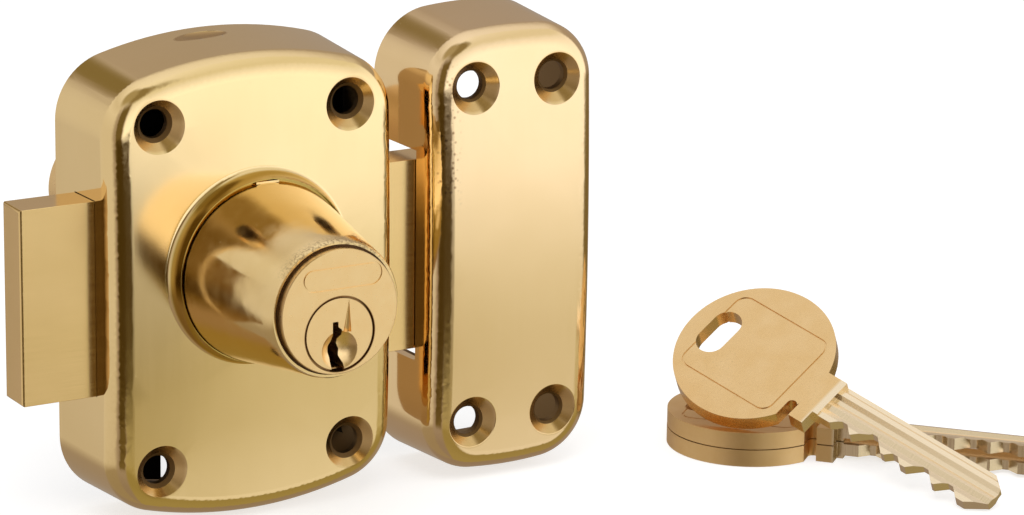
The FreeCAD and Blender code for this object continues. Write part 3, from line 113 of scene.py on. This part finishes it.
def blend(tree, share, first, second):
    """From the first colour to the second by a share. Each is a colour, a grey level or a socket."""
    mix = tree.nodes.new("ShaderNodeMix")
    mix.data_type = "RGBA"
    if isinstance(share, float):
        mix.inputs["Factor"].default_value = share
    else:
        tree.links.new(share, mix.inputs["Factor"])
    for name, value in (("A", first), ("B", second)):
        if isinstance(value, tuple):
            mix.inputs[name].default_value = (*value, 1)
        elif isinstance(value, float):
            mix.inputs[name].default_value = (value, value, value, 1)
        else:
            tree.links.new(value, mix.inputs[name])
    return mix.outputs["Result"]


def relief(tree, shader, layers):
    """Bump layers of (height, depth in metres, strength), laid one over the other."""
    below = None
    for height, depth, strength in layers:
        bump = tree.nodes.new("ShaderNodeBump")
        bump.inputs["Strength"].default_value = strength
        bump.inputs["Distance"].default_value = depth
        tree.links.new(height, bump.inputs["Height"])
        if below:
            tree.links.new(below, bump.inputs["Normal"])
        below = bump.outputs["Normal"]
    tree.links.new(below, shader.inputs["Normal"])


def pits(tree, scale, size):
    """Scattered round pits: 0 in a pit and 1 on the sound metal."""
    place = tree.nodes.new("ShaderNodeTexCoord")
    cells = tree.nodes.new("ShaderNodeTexVoronoi")
    cells.inputs["Scale"].default_value = scale
    tree.links.new(place.outputs["Object"], cells.inputs["Vector"])
    return ramp(tree, cells.outputs["Distance"], ((0.0, 0.0), (size, 1.0)))


def sum_of(tree, operation, first, second=0.0):
    """One arithmetic step on sockets or numbers."""
    step = tree.nodes.new("ShaderNodeMath")
    step.operation = operation
    for place, value in enumerate((first, second)):
        if isinstance(value, (int, float)):
            step.inputs[place].default_value = value
        else:
            tree.links.new(value, step.inputs[place])
    return step.outputs[0]


def places(tree):
    """The part's own X, Y and Z in metres."""
    place = tree.nodes.new("ShaderNodeTexCoord")
    parts = tree.nodes.new("ShaderNodeSeparateXYZ")
    tree.links.new(place.outputs["Object"], parts.inputs[0])
    return parts.outputs["X"], parts.outputs["Y"], parts.outputs["Z"]


def distance(tree, first, second):
    """Length of the hypotenuse."""
    return sum_of(tree, "SQRT", sum_of(tree, "ADD", sum_of(tree, "MULTIPLY", first, first),
                                       sum_of(tree, "MULTIPLY", second, second)))


def soft_step(tree, value, none, full):
    """0 at one value and 1 at the other."""
    fade = tree.nodes.new("ShaderNodeMapRange")
    fade.inputs["From Min"].default_value = none
    fade.inputs["From Max"].default_value = full
    tree.links.new(value, fade.inputs["Value"])
    return fade.outputs["Result"]


def near_holes(tree, centre_x, across):
    """1 in and close to the four screw holes, where the mop doesn't reach."""
    x, y, z = places(tree)
    from_middle = sum_of(tree, "ABSOLUTE", sum_of(tree, "SUBTRACT", x, centre_x))
    from_plug = sum_of(tree, "ABSOLUTE", sum_of(tree, "ADD", z, PLUG_DROP))
    off_x = sum_of(tree, "SUBTRACT", from_middle, across / 2)
    off_z = sum_of(tree, "SUBTRACT", from_plug, HOLES_UPRIGHT / 2)
    return soft_step(tree, distance(tree, off_x, off_z), SINK_RIM + 0.0003, SINK_RIM - 0.0003)


def inside_shell(tree, centre_x, width, tall):
    """1 on the inner faces of a casting, by its drafted and arched walls."""
    x, y, z = places(tree)
    x = sum_of(tree, "ABSOLUTE", sum_of(tree, "SUBTRACT", x, centre_x))
    arch = sum_of(tree, "DIVIDE", sum_of(tree, "MULTIPLY", x, x), 2 * ARCH_RADIUS)
    z = sum_of(tree, "ADD", sum_of(tree, "ABSOLUTE", sum_of(tree, "ADD", z, PLUG_DROP)), arch)
    past_x = sum_of(tree, "MAXIMUM", sum_of(tree, "SUBTRACT", x, width / 2 - CORNER), 0.0)
    past_z = sum_of(tree, "MAXIMUM", sum_of(tree, "SUBTRACT", z, tall / 2 - CORNER), 0.0)
    room = sum_of(tree, "ADD", sum_of(tree, "MULTIPLY", y, math.tan(DRAFT)), CORNER - WALL + SPARE)
    within = sum_of(tree, "LESS_THAN", distance(tree, past_x, past_z), room)
    return sum_of(tree, "MULTIPLY", within, sum_of(tree, "GREATER_THAN", y, -DEPTH + WALL))


def polished_brass(name, brass, centre_x, across, width, tall):
    """Buffed and lacquered cast brass: duller in the countersinks, rough as cast on the inside, and darkened
    there with painted shade.

    The flat of the front, which a flat mop reaches, is a little softer than the rounded edges.
    """
    material, tree, shader = shader_for(name, brass, 1, 0.11)
    deep = (brass[0] * 0.97, brass[1] * 0.96, brass[2] * 0.92)
    tone = ramp(tree, noise(tree, 40, 3), ((0.35, deep), (0.65, brass)))
    sink, cavity_shade = near_holes(tree, centre_x, across), inside_shell(tree, centre_x, width, tall)
    tone = blend(tree, sink, tone, (0.76, 0.53, 0.25))
    # Painted shade: the inner faces of the casting are coloured dark brown.
    tree.links.new(blend(tree, cavity_shade, tone, (0.24, 0.15, 0.065)), shader.inputs["Base Color"])
    x, y, z = places(tree)
    face = sum_of(tree, "MULTIPLY", soft_step(tree, y, -DEPTH + 0.0016, -DEPTH + 0.0007),
                  soft_step(tree, y, -DEPTH - 0.0004, -DEPTH - 0.0001))
    polish = ramp(tree, noise(tree, 700, 4, (1, 1, 0.1)), ((0.35, 0.055), (0.75, 0.085)))
    satin = ramp(tree, noise(tree, 900, 4, (1, 1, 0.05)), ((0.35, 0.12), (0.75, 0.14)))
    polish = blend(tree, sink, blend(tree, face, polish, satin), 0.24)
    tree.links.new(blend(tree, cavity_shade, polish, 0.55), shader.inputs["Roughness"])
    relief(tree, shader, ((noise(tree, 40, 1), 0.0012, 0.02), (noise(tree, 2600, 2), 0.00002, 0.04),
                          (pits(tree, 420, 0.04), 0.00008, 0.2)))
    return material, tree, shader


def fair(name, label, material, broken_edge=0.0):
    """A copy of a node that stands for it: its curved faces shade as one, its sharp edges stay."""
    source = part[name]
    solid = bmesh.new()
    solid.from_mesh(source.data)
    bmesh.ops.remove_doubles(solid, verts=solid.verts, dist=2e-6)
    solid.verts.ensure_lookup_table()
    mesh = bpy.data.meshes.new(label)
    mesh.from_pydata([v.co for v in solid.verts], [], [[v.index for v in f.verts] for f in solid.faces])
    solid.free()
    solid = bmesh.new()
    solid.from_mesh(mesh)
    for face in solid.faces:
        face.smooth = True
    for edge in solid.edges:
        edge.smooth = edge.calc_face_angle(0) < SHARP
    solid.to_mesh(mesh)
    solid.free()
    piece = bpy.data.objects.new(label, mesh)
    bpy.context.scene.collection.objects.link(piece)
    if broken_edge:
        flats = piece.modifiers.new("whole_flats", "DECIMATE")
        flats.decimate_type = "DISSOLVE"
        flats.angle_limit = math.radians(0.4)
        edges = piece.modifiers.new("broken_edges", "BEVEL")
        edges.width = broken_edge
        edges.segments = 3
        edges.limit_method = "ANGLE"
        edges.angle_limit = SHARP
        edges.harden_normals = False
    even = piece.modifiers.new("even_shading", "WEIGHTED_NORMAL")
    even.keep_sharp = True
    even.weight = 80
    mesh.materials.append(material)
    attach(piece, source["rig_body"])
    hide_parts(name)
    return piece


SHARP = math.radians(24)
BROKEN_EDGE = 0.0003
PLUG_DROP = 0.0041
HOLES_UPRIGHT = 0.0653
SINK_RIM = 0.0049
ARCH_RADIUS = 0.080
CORNER = 0.012
DRAFT = math.radians(3)
WALL = 0.0026
SPARE = 0.0010
DEPTH = 0.0226
CASE_WIDTH = 0.060
CASE_TALL = 0.089
CASE_HOLES_ACROSS = 0.0388
COLLAR_FOOT = 0.0187
RECESS_LEFT = 0.0030
RECESS_FRONT = 0.0050
RECESS_LONG = 0.0054
RECESS_WIDE = 0.0022
RECESS_BASE = 0.036
case_brass, tree, shader = polished_brass("polished_brass_case", (0.94, 0.72, 0.39), 0.0,
                                          CASE_HOLES_ACROSS, CASE_WIDTH, CASE_TALL)
x, y, z = places(tree)
# Painted shade: the corner where the front meets the collar is coloured dark olive brown.
collar_shade = sum_of(tree, "MULTIPLY",
                soft_step(tree, distance(tree, x, z), COLLAR_FOOT + 0.0003, COLLAR_FOOT - 0.0003),
                soft_step(tree, y, -DEPTH, -DEPTH - 0.0005))
along = sum_of(tree, "DIVIDE", sum_of(tree, "ADD", x, RECESS_LEFT), RECESS_LONG)
aside = sum_of(tree, "DIVIDE", sum_of(tree, "ADD", y, RECESS_FRONT), RECESS_WIDE)
oval = sum_of(tree, "MULTIPLY", soft_step(tree, distance(tree, along, aside), 1.02, 0.94),
              sum_of(tree, "GREATER_THAN", z, RECESS_BASE))
tone_before_collar = shader.inputs["Base Color"].links[0].from_socket
tone = blend(tree, collar_shade, tone_before_collar, (0.52, 0.37, 0.11))
tree.links.new(blend(tree, oval, tone, (0.50, 0.33, 0.15)), shader.inputs["Base Color"])
polish = shader.inputs["Roughness"].links[0].from_socket
tree.links.new(blend(tree, oval, polish, 0.4), shader.inputs["Roughness"])
fair("case_shell", "case_casting", case_brass, BROKEN_EDGE)


# Keeper. Cast and buffed like the case, a little redder. It stands on the door frame and takes
# the bolt. The edge nearest the case was cast porous and shows a string of small brown pits.

KEEPER_WIDTH = 0.037
KEEPER_TALL = 0.088
KEEPER_HOLES_ACROSS = 0.0175
KEEPER_MIDDLE = 0.0541
PORES_RIGHT = 0.0425
PORES_BACK = -0.0205
PORES_MIDDLE = 0.020
PORES_REACH = 0.016
keeper_brass, tree, shader = polished_brass("polished_brass_keeper", (0.95, 0.72, 0.43), KEEPER_MIDDLE,
                                            KEEPER_HOLES_ACROSS, KEEPER_WIDTH, KEEPER_TALL)
x, y, z = places(tree)
edge = sum_of(tree, "MULTIPLY", soft_step(tree, x, PORES_RIGHT, PORES_RIGHT - 0.002),
              soft_step(tree, y, PORES_BACK, PORES_BACK - 0.001))
from_pores = sum_of(tree, "ABSOLUTE", sum_of(tree, "SUBTRACT", z, PORES_MIDDLE))
edge = sum_of(tree, "MULTIPLY", edge, soft_step(tree, from_pores, PORES_REACH, PORES_REACH - 0.006))
pores = sum_of(tree, "MULTIPLY", edge, sum_of(tree, "SUBTRACT", 1.0, pits(tree, 900, 0.35)))
sound = shader.inputs["Base Color"].links[0].from_socket
tree.links.new(blend(tree, pores, sound, (0.22, 0.12, 0.05)), shader.inputs["Base Color"])
fair("keeper_shell", "keeper_casting", keeper_brass, BROKEN_EDGE)


# Cover of the inside cylinder. A brass cone over the cylinder, buffed by hand and handled most,
# so it is a little scratched and dull towards its nose. A black spring ring holds it.

cover_brass, tree, shader = shader_for("buffed_brass_cover", (0.93, 0.71, 0.38), 1, 0.14)
x, y, z = places(tree)
NOSE = -0.0529
WORN_LENGTH = 0.0024
WORN_ABOVE = 0.006
worn = sum_of(tree, "MULTIPLY", soft_step(tree, y, NOSE + WORN_LENGTH, NOSE + 0.0004),
              soft_step(tree, z, WORN_ABOVE, WORN_ABOVE + 0.004))
worn = sum_of(tree, "MULTIPLY", worn, ramp(tree, noise(tree, 2600, 4), ((0.46, 0.0), (0.62, 0.8))))
tone = ramp(tree, noise(tree, 70, 4), ((0.35, (0.88, 0.65, 0.31)), (0.65, (0.94, 0.72, 0.39))))
tree.links.new(blend(tree, worn, tone, (0.42, 0.31, 0.17)), shader.inputs["Base Color"])
buffed = ramp(tree, noise(tree, 300, 5), ((0.35, 0.09), (0.75, 0.20)))
tree.links.new(blend(tree, worn, buffed, 0.45), shader.inputs["Roughness"])
relief(tree, shader, ((noise(tree, 90, 2), 0.0010, 0.06), (noise(tree, 1500, 4), 0.00003, 0.12),
                      (pits(tree, 500, 0.06), 0.00008, 0.25)))
fair("cylinder_cover", "cover_cone", cover_brass)

browned, tree, shader = shader_for("browned_steel", (0.10, 0.055, 0.025), 0.8, 0.45)
tree.links.new(ramp(tree, noise(tree, 900, 4), ((0.3, 0.4), (0.7, 0.55))), shader.inputs["Roughness"])
fair("cover_ring", "cover_spring_ring", browned)


# Bolt. A brass bar, rolled and then finely ground along its length, with crisp edges. It
# slides through slots in both side walls of the case and into the keeper.

BOLT_EDGE = 0.0004
ground, tree, shader = shader_for("ground_brass_bar", (0.91, 0.66, 0.33), 1, 0.2)
tone = ramp(tree, noise(tree, 60, 3, (0.3, 1, 1)), ((0.3, (0.89, 0.64, 0.29)), (0.7, (0.93, 0.67, 0.325))))
tree.links.new(tone, shader.inputs["Base Color"])
tree.links.new(ramp(tree, noise(tree, 4000, 2, (0.02, 1, 1)), ((0.3, 0.17), (0.7, 0.23))),
               shader.inputs["Roughness"])
relief(tree, shader, ((noise(tree, 5000, 2, (0.01, 1, 1)), 0.00001, 0.10),
                      (noise(tree, 120, 1), 0.0006, 0.03)))
fair("bolt", "bolt_bar", ground, BOLT_EDGE)


# Cylinders, plugs and pins. Turned from bar brass and left bare. Painted shade darkens the
# seam round each plug's face.

def dress(names, material):
    """Give these nodes of the part one material."""
    for name in names:
        part[name].data.materials.clear()
        part[name].data.materials.append(material)


FACES_FROM = 0.0444
SEAM_INSIDE = 0.0065
SEAM_OUTSIDE = 0.00712
turned, tree, shader = shader_for("turned_brass", (0.96, 0.69, 0.35), 1, 0.3)
x, y, z = places(tree)
off_axis = distance(tree, x, sum_of(tree, "ADD", z, PLUG_DROP))
# Painted shade: a dark brown ring in the groove between each plug and its body.
seam_shade = sum_of(tree, "MULTIPLY", soft_step(tree, off_axis, SEAM_INSIDE, SEAM_INSIDE + 0.00012),
              soft_step(tree, off_axis, SEAM_OUTSIDE, SEAM_OUTSIDE - 0.00012))
seam_shade = sum_of(tree, "MULTIPLY", seam_shade, sum_of(tree, "GREATER_THAN", sum_of(tree, "ABSOLUTE", y), FACES_FROM))
tone = ramp(tree, noise(tree, 400, 5), ((0.3, (0.95, 0.675, 0.335)), (0.7, (0.97, 0.71, 0.37))))
tree.links.new(blend(tree, seam_shade, tone, (0.30, 0.17, 0.07)), shader.inputs["Base Color"])
tree.links.new(ramp(tree, noise(tree, 2500, 3), ((0.3, 0.27), (0.7, 0.35))), shader.inputs["Roughness"])
relief(tree, shader, ((noise(tree, 3500, 3), 0.00001, 0.12),))
for name in ("inner_cylinder_body", "outer_cylinder_body", "inner_plug", "outer_plug"):
    fair(name, name + "_turned", turned)
dress(["inner_tailpiece", "outer_tailpiece", "inner_chamber_caps", "outer_chamber_caps", "inner_pins",
       "outer_pins", "inner_drivers", "outer_drivers"], turned)


# Steel inside the lock. The back plate is blackened, the screws, strips and pins are zinc
# plated, and the drive, the clips and the springs are bare.

zinc, tree, shader = shader_for("zinc_plated_steel", (0.66, 0.67, 0.70), 1, 0.3)
tree.links.new(ramp(tree, noise(tree, 1200, 4), ((0.3, 0.24), (0.7, 0.38))), shader.inputs["Roughness"])
dress(["inner_cylinder_screws", "outer_cylinder_screws", "back_plate_screws", "stop_pin", "spring_rivet",
       "upper_guide", "lower_guide"], zinc)

bare, tree, shader = shader_for("bare_steel", (0.36, 0.36, 0.38), 1, 0.35)
tree.links.new(ramp(tree, noise(tree, 1200, 4), ((0.3, 0.3), (0.7, 0.42))), shader.inputs["Roughness"])
dress(["drive_pinion", "drive_coupling", "inner_plug_clip", "outer_plug_clip", "friction_spring",
       "inner_driver_springs", "outer_driver_springs"], bare)
black, tree, shader = shader_for("blackened_steel", (0.02, 0.02, 0.022), 0.4, 0.5)
tree.links.new(ramp(tree, noise(tree, 900, 4), ((0.3, 0.42), (0.7, 0.58))), shader.inputs["Roughness"])
dress(["back_plate"], black)


# Keys. Stamped from brass strip and barrel finished, so that they shine softly. The blades are
# milled afterwards, which leaves them paler, with fine lines across.

def key_brass(name, bow, along, dull):
    """Soft shining bow and milled blade of one key, by its bow's centre and its blade's direction."""
    material, tree, shader = shader_for(name, (0.86, 0.60, 0.30), 1, dull)
    reach = 0.0
    for value, middle, share in zip(places(tree), bow, along):
        from_bow = sum_of(tree, "SUBTRACT", value, middle)
        reach = sum_of(tree, "ADD", reach, sum_of(tree, "MULTIPLY", from_bow, share))
    blade = soft_step(tree, reach, MILLED_FROM, MILLED_FROM + 0.0006)
    tone = ramp(tree, noise(tree, 220, 4), ((0.3, (0.84, 0.57, 0.27)), (0.7, (0.88, 0.62, 0.32))))
    tree.links.new(blend(tree, blade, tone, (0.97, 0.81, 0.58)), shader.inputs["Base Color"])
    finish = ramp(tree, noise(tree, 2500, 3), ((0.3, dull - 0.03), (0.7, dull + 0.03)))
    tree.links.new(blend(tree, blade, finish, 0.24), shader.inputs["Roughness"])
    cuts = tree.nodes.new("ShaderNodeTexNoise")
    cuts.noise_dimensions = "1D"
    cuts.inputs["Scale"].default_value = 2200
    tree.links.new(reach, cuts.inputs["W"])
    relief(tree, shader, ((noise(tree, 3000, 3), 0.00001, 0.03),
                          (sum_of(tree, "MULTIPLY", cuts.outputs["Fac"], blade), 0.00003, 0.25)))
    return material


MILLED_FROM = 0.0182
STACK = ((0.1056, -0.0245, -0.047), (0.682, -0.731, 0.0))
LEAN = ((0.10546, -0.02645, -0.03107), (0.3109, -0.9154, -0.2557))
for name, (bow, along), dull in (("leaning_key", LEAN, 0.26), ("upper_key", STACK, 0.45),
                                 ("lower_key", STACK, 0.45)):
    brass = key_brass("brass_of_" + name, bow, along, dull)
    fair(name, name + "_stamping", brass, BROKEN_EDGE)


# Table. A pale even sheet under the lock. The camera sees it as white but for the shadows,
# and the polish doesn't mirror it.

TABLE_Z = min(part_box(name)[0].z for name in ("case_shell", "lower_key"))
bpy.ops.mesh.primitive_plane_add(size=6, location=(0, 0, TABLE_Z - 0.0001))
table = bpy.context.object
table.name = "table"
table.visible_glossy = False
SEEN_LIFT = 0.67
sheet, tree, shader = shader_for("pale_table", (0.52, 0.52, 0.52), 0, 0.9)
path = tree.nodes.new("ShaderNodeLightPath")
lift = tree.nodes.new("ShaderNodeEmission")
lift.inputs["Strength"].default_value = SEEN_LIFT
nothing = tree.nodes.new("ShaderNodeEmission")
nothing.inputs["Strength"].default_value = 0
choose = tree.nodes.new("ShaderNodeMixShader")
both = tree.nodes.new("ShaderNodeAddShader")
tree.links.new(path.outputs["Is Camera Ray"], choose.inputs["Fac"])
tree.links.new(nothing.outputs[0], choose.inputs[1])
tree.links.new(lift.outputs[0], choose.inputs[2])
tree.links.new(shader.outputs[0], both.inputs[0])
tree.links.new(choose.outputs[0], both.inputs[1])
tree.links.new(both.outputs[0], tree.nodes["Material Output"].inputs["Surface"])
table.data.materials.append(sheet)


# Studio. White panels to the front right and overhead and a dimmer one to the left light the
# brass. The photographer and a lamp's back stand dark between them, as does the table's edge,
# and behind the lock it is dim. Only what shines mirrors this; the rest has an even light.

world = bpy.data.worlds.new("studio")
bpy.context.scene.world = world
world.use_nodes = True
tree = world.node_tree
tree.nodes.clear()
looks = tree.nodes.new("ShaderNodeTexCoord").outputs["Generated"]
parts = tree.nodes.new("ShaderNodeSeparateXYZ")
tree.links.new(looks, parts.inputs[0])
height = parts.outputs["Z"]
flat = tree.nodes.new("ShaderNodeVectorMath")
flat.operation = "MULTIPLY"
flat.inputs[1].default_value = (1, 1, 0)
tree.links.new(looks, flat.inputs[0])
level = tree.nodes.new("ShaderNodeVectorMath")
level.operation = "NORMALIZE"
tree.links.new(flat.outputs[0], level.inputs[0])


def step_between(value, low, high):
    """A soft step: 0 at one value and 1 at the other."""
    step = tree.nodes.new("ShaderNodeMapRange")
    step.interpolation_type = "SMOOTHSTEP"
    step.inputs["From Min"].default_value = low
    step.inputs["From Max"].default_value = high
    tree.links.new(value, step.inputs["Value"])
    return step.outputs["Result"]


def round_about(azimuth, inside, outside):
    """1 within some degrees of an azimuth and 0 outside more. 0 is the room, 90 is the keeper."""
    dot = tree.nodes.new("ShaderNodeVectorMath")
    dot.operation = "DOT_PRODUCT"
    dot.inputs[1].default_value = (math.sin(math.radians(azimuth)), -math.cos(math.radians(azimuth)), 0)
    tree.links.new(level.outputs[0], dot.inputs[0])
    return step_between(dot.outputs["Value"], math.cos(math.radians(outside)), math.cos(math.radians(inside)))


def window(low_out, low_in, high_in, high_out):
    """1 between two heights on the unit sphere, fading to 0 outside them."""
    return sum_of(tree, "MULTIPLY", step_between(height, low_out, low_in),
                  step_between(height, high_out, high_in))


def warm(grey, yellow=1.5):
    """A light level, the yellower the dimmer it is."""
    dim = min(grey, 1.0)
    return (grey * dim ** -0.15, grey, grey * dim ** (yellow - 1))


def panel(yellow, *levels):
    """Light by height on the unit sphere."""
    return ramp(tree, step_up, [((z + 1) / 2, warm(grey, yellow)) for z, grey in levels])


def towards(azimuth, elevation, inside, outside):
    """1 within some degrees of a direction and 0 outside more."""
    across, up_there = math.radians(azimuth), math.radians(elevation)
    level_share = math.cos(up_there)
    dot = tree.nodes.new("ShaderNodeVectorMath")
    dot.operation = "DOT_PRODUCT"
    dot.inputs[1].default_value = (math.sin(across) * level_share, -math.cos(across) * level_share,
                                   math.sin(up_there))
    tree.links.new(looks, dot.inputs[0])
    return step_between(dot.outputs["Value"], math.cos(math.radians(outside)), math.cos(math.radians(inside)))


step_up = sum_of(tree, "MULTIPLY", sum_of(tree, "ADD", height, 1.0), 0.5)
behind = panel(1.15, (-0.8, 0.25), (-0.5, 0.30), (0.0, 0.33), (0.5, 0.37), (0.67, 0.60), (0.8, 0.80),
               (1.0, 0.93))
left = panel(1.3, (-0.8, 0.28), (-0.5, 0.30), (-0.36, 0.55), (-0.28, 0.66), (0.1, 0.66), (0.31, 0.70),
             (0.5, 0.76), (0.67, 0.66), (0.81, 0.76), (1.0, 0.93))
front = panel(1.75, (-0.92, 0.30), (-0.67, 0.27), (-0.5, 0.27), (-0.42, 0.34), (-0.34, 0.50), (-0.27, 0.84),
              (-0.2, 1.24), (-0.1, 1.30), (0.2, 1.20), (0.5, 0.97), (0.68, 0.80), (0.8, 0.78), (0.9, 0.84),
              (1.0, 0.95))
door_gap = towards(-173, 27, 6, 17)
photographer = sum_of(tree, "MULTIPLY", round_about(-40, 10, 18), window(-0.55, -0.40, 0.52, 0.80))
lamp_head = towards(-20, 58, 12, 24)
low_down = window(-0.38, -0.32, -0.20, -0.04)
table_edge = sum_of(tree, "MULTIPLY", round_about(-20, 24, 35), low_down)
beside_it = sum_of(tree, "MULTIPLY", round_about(-17, 35, 45), window(-0.40, -0.32, -0.24, -0.14))
bright_sheet = towards(33, -31, 6, 14)
dim_corner = towards(-66, 62, 10, 22)
far_right = sum_of(tree, "MULTIPLY", round_about(98, 14, 32), window(-0.5, -0.42, -0.25, -0.10))

mirrored = blend(tree, round_about(-110, 33, 51), behind, left)
mirrored = blend(tree, door_gap, mirrored, warm(0.18))
mirrored = blend(tree, round_about(32, 48, 62), mirrored, front)
beside_it = sum_of(tree, "MULTIPLY", beside_it, 0.6)
for where, light in ((photographer, 0.12), (lamp_head, 0.22), (beside_it, 0.04), (table_edge, 0.04),
                     (bright_sheet, 0.80), (dim_corner, 0.35), (far_right, 0.14)):
    mirrored = blend(tree, where, mirrored, warm(light))

path = tree.nodes.new("ShaderNodeLightPath")
seen = blend(tree, path.outputs["Is Glossy Ray"], (0.62, 0.62, 0.62), mirrored)
seen = blend(tree, path.outputs["Is Camera Ray"], seen, (1.0, 1.0, 1.0))
sky = tree.nodes.new("ShaderNodeBackground")
tree.links.new(seen, sky.inputs["Color"])
tree.links.new(sky.outputs[0], tree.nodes.new("ShaderNodeOutputWorld").inputs["Surface"])


def lamp(name, place, aim, size, watts):
    """A square soft lamp. Its own picture is left out of the polish, which has the panels."""
    data = bpy.data.lights.new(name, "AREA")
    data.size = size
    data.energy = watts
    item = bpy.data.objects.new(name, data)
    item.visible_glossy = False
    item.location = place
    item.rotation_euler = (Vector(aim) - Vector(place)).to_track_quat("-Z", "Y").to_euler()
    bpy.context.scene.collection.objects.link(item)
    return item


lamp("key_lamp", (-0.25, -0.45, 0.75), (0.03, 0, 0), 0.5, 3.0)
lamp("fill_lamp", (0.6, -0.5, 0.35), (0.03, 0, 0), 0.4, 0.8)


# Camera, where the photographer stood: to the left of the lock, a little above it and some
# 0.9 m away, with a long lens.

LENS_PIXELS = 4834.0
PHOTO_WIDTH = 1024
eye = Vector((-0.3795, -0.7809, 0.2435))
right = Vector((0.87017, -0.49261, 0.01153))
up = Vector((0.12523, 0.24372, 0.96172))
back = right.cross(up)
lens = bpy.data.cameras.new("camera")
lens.sensor_width = 36
lens.lens = LENS_PIXELS / PHOTO_WIDTH * lens.sensor_width
lens.clip_start = 0.01
camera = bpy.data.objects.new("camera", lens)
camera.matrix_world = Matrix(((right.x, up.x, back.x, eye.x), (right.y, up.y, back.y, eye.y),
                              (right.z, up.z, back.z, eye.z), (0, 0, 0, 1)))
bpy.context.scene.collection.objects.link(camera)
bpy.context.scene.camera = camera
bpy.context.scene.view_settings.view_transform = "Standard"
